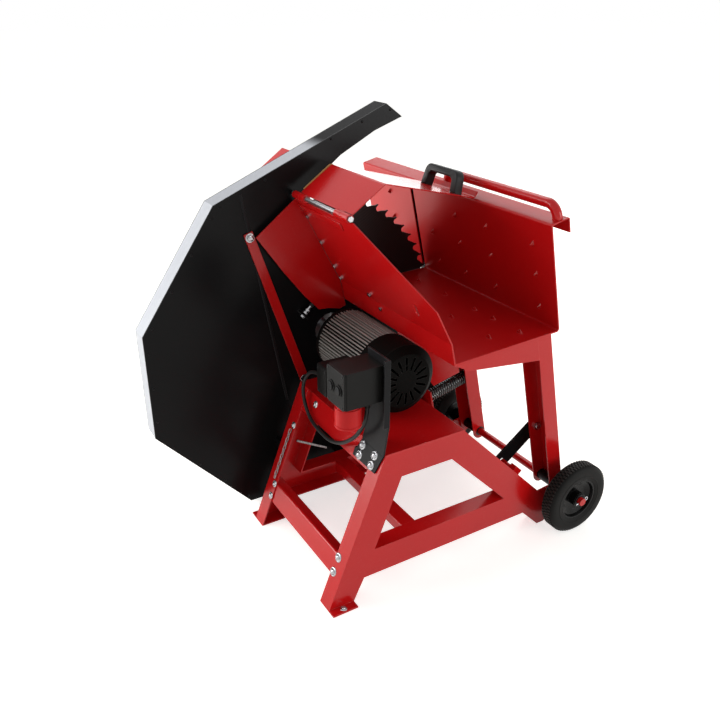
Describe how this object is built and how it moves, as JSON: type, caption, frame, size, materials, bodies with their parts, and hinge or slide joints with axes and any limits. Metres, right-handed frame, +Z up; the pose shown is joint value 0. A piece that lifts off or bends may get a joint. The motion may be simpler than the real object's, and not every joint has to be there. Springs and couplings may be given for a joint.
{
  "type": "tilting firewood saw",
  "caption": "Red and black circular firewood saw whose log trough tilts on the wheel axle to carry logs into a guarded blade, with finned motor, hinged flap and wheels.",
  "frame": {"origin": "on the floor, under the middle of the machine's bounding box", "axes": "+X along the blade and wheel axle towards the machine's near end, +Y from the blade guard towards the wheels and the operator, +Z up"},
  "size_m": [0.822, 0.998, 1.011],
  "materials": {
    "red_paint": "gloss powder coat",
    "black_paint": "gloss powder coat",
    "zinc": "bright zinc plate",
    "steel": "bare steel",
    "spring_steel": "oil-blackened spring wire",
    "blade_steel": "dark ground steel",
    "motor_grey": "cast aluminium",
    "iron_core": "laminated iron",
    "black_plastic": "moulded plastic",
    "tyre": "black rubber",
    "rubber": "black rubber",
    "edge_trim": "tan edge trim",
    "button_grey": "moulded plastic",
    "inlet_red": "moulded plastic"
  },
  "bodies": {
    "base": {"side_frame_near": "red_paint", "side_frame_far": "red_paint", "deck": "red_paint", "left_cross_rail": "red_paint", "middle_cross_bar": "red_paint", "axle_brackets": "red_paint", "guard_brace": "red_paint", "guard_spacers": "red_paint", "lock_stud": "red_paint", "spring_seat": "red_paint", "axle": "red_paint", "guard_near_plate": "black_paint", "guard_far_plate": "black_paint", "guard_rim": "black_paint", "switch_bracket": "black_paint", "fan_cover": "black_paint", "frame_bolts": "zinc", "axle_hardware": "zinc", "stop_bolt": "zinc", "chain": "zinc", "motor_bearings": "steel", "return_spring": "spring_steel", "motor_housing": "motor_grey", "drive_end_shield": "motor_grey", "rear_end_shield": "motor_grey", "motor_feet": "motor_grey", "stator": "iron_core", "terminal_box": "black_plastic", "switch_box": "black_plastic", "switch_lid": "black_plastic", "cable_glands": "black_plastic", "stop_pad": "rubber", "motor_cable": "rubber", "power_inlet": "inlet_red"},
    "saw_rotor": {"saw_blade": "blade_steel", "blade_clamp": "zinc", "motor_shaft": "steel", "rotor_core": "iron_core", "cooling_fan": "black_plastic"},
    "rocker": {"trough": "red_paint", "left_walls": "red_paint", "near_shield": "red_paint", "slot_cover": "black_paint", "under_panels": "red_paint", "rocker_leg_near": "red_paint", "rocker_leg_far": "red_paint", "pivot_bushes": "steel", "push_handle": "red_paint", "hinge_rod": "zinc", "rocker_bolts": "zinc"},
    "flap": {"flap_sheet": "red_paint", "flap_trim": "edge_trim", "flap_handle": "black_plastic"},
    "lock": {"transport_bar": "black_paint"},
    "wheel_near": {"tyre_near": "tyre", "rim_near": "black_plastic"},
    "wheel_far": {"tyre_far": "tyre", "rim_far": "black_plastic"},
    "stop_push": {"stop_button": "button_grey"},
    "start_push": {"start_button": "button_grey"}
  },
  "joints": [
    {"name": "rocker_tilt", "type": "hinge", "parent": "base", "child": "rocker", "pos_m": [0.13, 0.404, 0.095], "axis": [1, 0, 0], "range_deg": [-26, 0], "deforming": ["return_spring"]},
    {"name": "flap_lift", "type": "hinge", "parent": "rocker", "child": "flap", "pos_m": [0.014, -0.11163, 0.82788], "axis": [1, 0, 0], "range_deg": [0, 100]},
    {"name": "lock_bar_swing", "type": "hinge", "parent": "rocker", "child": "lock", "pos_m": [0.2505, 0.36686, 0.25269], "axis": [-1, 0, 0], "range_deg": [0, 80]},
    {"name": "blade_spin", "type": "hinge", "parent": "base", "child": "saw_rotor", "pos_m": [-0.1745, -0.015, 0.462], "axis": [-1, 0, 0], "continuous": true},
    {"name": "wheel_near_spin", "type": "hinge", "parent": "base", "child": "wheel_near", "pos_m": [0.378, 0.404, 0.095], "axis": [1, 0, 0], "continuous": true},
    {"name": "wheel_far_spin", "type": "hinge", "parent": "base", "child": "wheel_far", "pos_m": [-0.118, 0.404, 0.095], "axis": [1, 0, 0], "continuous": true},
    {"name": "stop_press", "type": "slide", "parent": "base", "child": "stop_push", "axis": [0, 1, 0], "range_m": [0, 0.003], "stiffness_N_per_m": 400},
    {"name": "start_press", "type": "slide", "parent": "base", "child": "start_push", "axis": [0, 1, 0], "range_m": [0, 0.003], "stiffness_N_per_m": 400}
  ]
}
